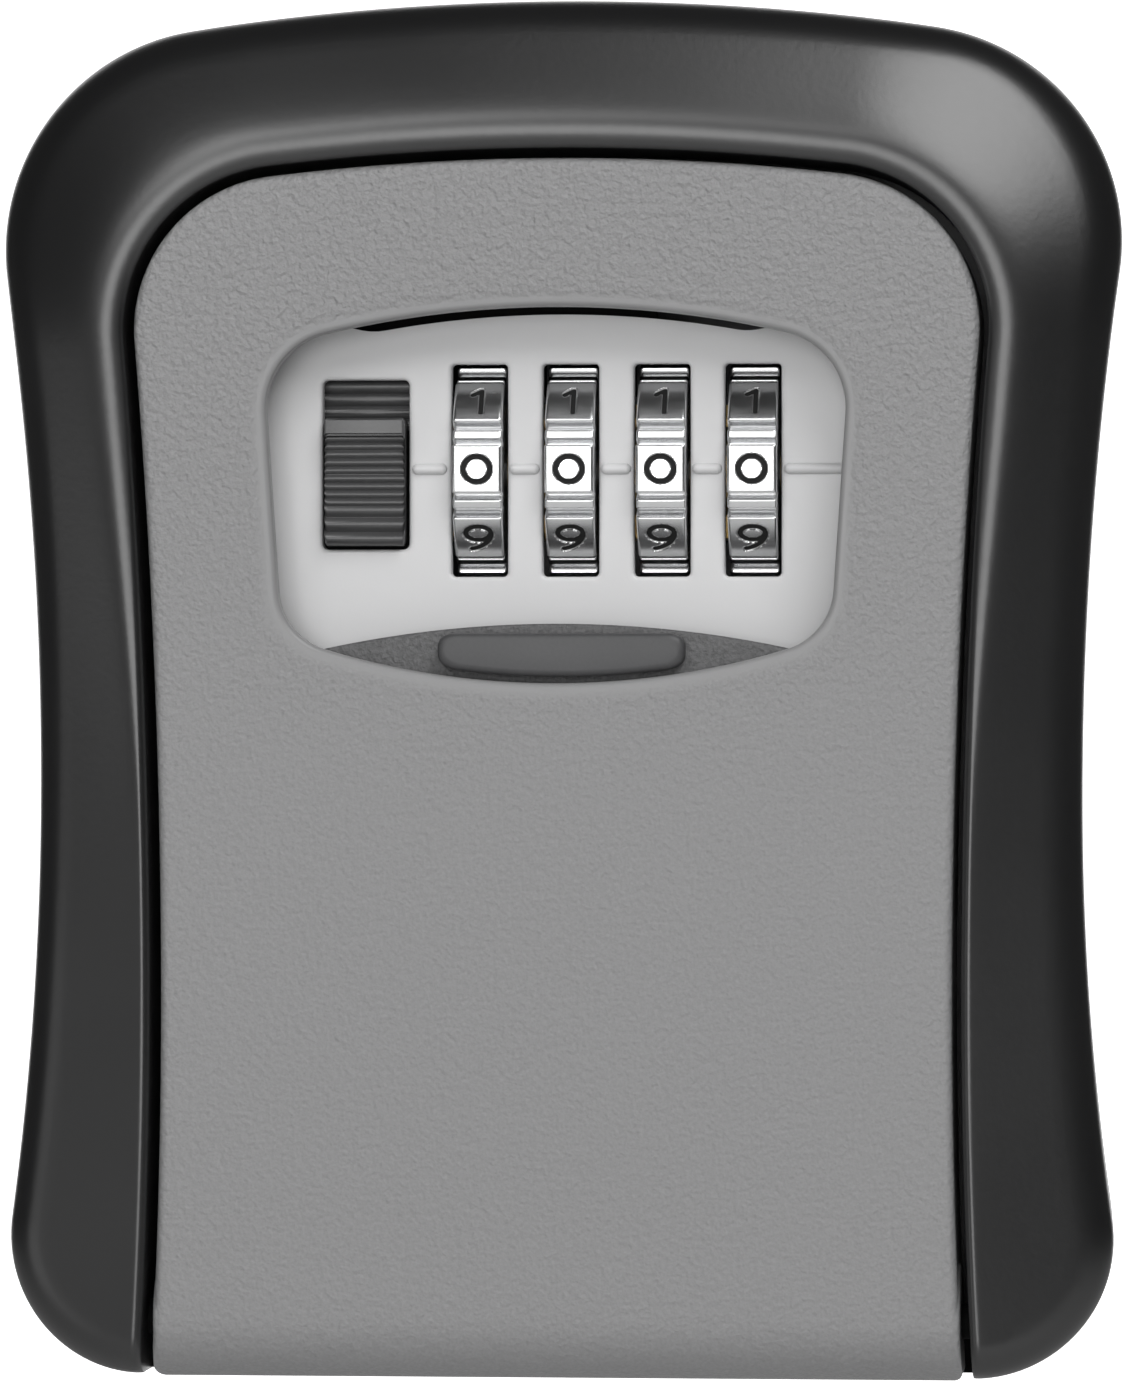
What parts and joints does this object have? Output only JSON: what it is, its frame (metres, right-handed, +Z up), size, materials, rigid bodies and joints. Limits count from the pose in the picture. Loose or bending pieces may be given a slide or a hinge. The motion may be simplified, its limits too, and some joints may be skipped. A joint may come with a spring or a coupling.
{
  "type": "key lock box",
  "caption": "Wall-mounted key lock box with a waisted housing, a foot-hinged door, number wheels, a release lever and a sliding shutter.",
  "frame": {"origin": "centre of the flat back face that lies on the wall, at the mid-height of the box", "axes": "+X to the right as seen from the front, +Y to the wall, +Z up; the door faces -Y"},
  "size_m": [0.0948, 0.04, 0.1163],
  "materials": {
    "black_paint": "satin black powder coat on a zinc casting",
    "grey_paint": "grey paint with a fine orange-peel texture",
    "pale_plastic": "smooth satin light grey plastic",
    "black_plastic": "satin black moulded plastic",
    "shutter_plastic": "fine-textured dark grey plastic",
    "tab_plastic": "smooth mid grey plastic",
    "chrome": "bright plating with black engraved numbers",
    "steel": "zinc-plated steel",
    "black_steel": "black-coated steel",
    "spring_steel": "drawn spring wire and strip",
    "brass": "turned brass"
  },
  "bodies": {
    "housing": {"housing_shell": "black_paint", "strike_plate": "steel", "hinge_pin": "black_steel", "key_hook": "steel"},
    "door": {"door_shell": "grey_paint", "dial_panel": "pale_plastic", "door_back_cover": "black_plastic", "mechanism_frame": "steel", "detent_spring": "spring_steel", "shutter_guide_left": "black_plastic", "shutter_guide_right": "black_plastic", "cover_screw_1": "steel", "cover_screw_2": "steel", "cover_screw_3": "steel", "cover_screw_4": "steel", "latch_spring": "spring_steel"},
    "latch": {"latch_plate": "black_steel", "release_lever": "black_plastic", "latch_bolt": "steel"},
    "shutter": {"shutter_plate": "shutter_plastic", "shutter_tab": "tab_plastic"},
    "wheel_1": {"number_wheel_1": "chrome"},
    "wheel_2": {"number_wheel_2": "chrome"},
    "wheel_3": {"number_wheel_3": "chrome"},
    "wheel_4": {"number_wheel_4": "chrome"},
    "reset": {"reset_lever": "black_plastic", "dial_axle": "steel"},
    "sleeve_1": {"code_sleeve_1": "brass"},
    "sleeve_2": {"code_sleeve_2": "brass"},
    "sleeve_3": {"code_sleeve_3": "brass"},
    "sleeve_4": {"code_sleeve_4": "brass"}
  },
  "joints": [
    {"name": "door_hinge", "type": "hinge", "parent": "housing", "child": "door", "pos_m": [0, -0.034, -0.0531], "axis": [1, 0, 0], "range_deg": [0, 100]},
    {"name": "latch_slide", "type": "slide", "parent": "door", "child": "latch", "axis": [0, 0, 1], "range_m": [0, 0.0032], "deforming": ["latch_spring"]},
    {"name": "shutter_slide", "type": "slide", "parent": "door", "child": "shutter", "axis": [0, 0, 1], "range_m": [0, 0.0266]},
    {"name": "wheel_1_spin", "type": "hinge", "parent": "door", "child": "wheel_1", "pos_m": [-0.00695, -0.0251, 0.01856], "axis": [1, 0, 0], "continuous": true},
    {"name": "wheel_2_spin", "type": "hinge", "parent": "door", "child": "wheel_2", "pos_m": [0.00086, -0.0251, 0.01856], "axis": [1, 0, 0], "continuous": true},
    {"name": "wheel_3_spin", "type": "hinge", "parent": "door", "child": "wheel_3", "pos_m": [0.0086, -0.0251, 0.01856], "axis": [1, 0, 0], "continuous": true},
    {"name": "wheel_4_spin", "type": "hinge", "parent": "door", "child": "wheel_4", "pos_m": [0.0163, -0.0251, 0.01856], "axis": [1, 0, 0], "continuous": true},
    {"name": "reset_slide", "type": "slide", "parent": "door", "child": "reset", "axis": [-1, 0, 0], "range_m": [0, 0.0012]},
    {"name": "sleeve_1_spin", "type": "hinge", "parent": "reset", "child": "sleeve_1", "pos_m": [-0.00695, -0.0251, 0.01856], "axis": [1, 0, 0], "continuous": true},
    {"name": "sleeve_2_spin", "type": "hinge", "parent": "reset", "child": "sleeve_2", "pos_m": [0.00086, -0.0251, 0.01856], "axis": [1, 0, 0], "continuous": true},
    {"name": "sleeve_3_spin", "type": "hinge", "parent": "reset", "child": "sleeve_3", "pos_m": [0.0086, -0.0251, 0.01856], "axis": [1, 0, 0], "continuous": true},
    {"name": "sleeve_4_spin", "type": "hinge", "parent": "reset", "child": "sleeve_4", "pos_m": [0.0163, -0.0251, 0.01856], "axis": [1, 0, 0], "continuous": true}
  ],
  "couplings": [
    {"joint": "sleeve_1_spin", "follows": "wheel_1_spin", "ratio": 1},
    {"joint": "sleeve_2_spin", "follows": "wheel_2_spin", "ratio": 1},
    {"joint": "sleeve_3_spin", "follows": "wheel_3_spin", "ratio": 1},
    {"joint": "sleeve_4_spin", "follows": "wheel_4_spin", "ratio": 1}
  ]
}
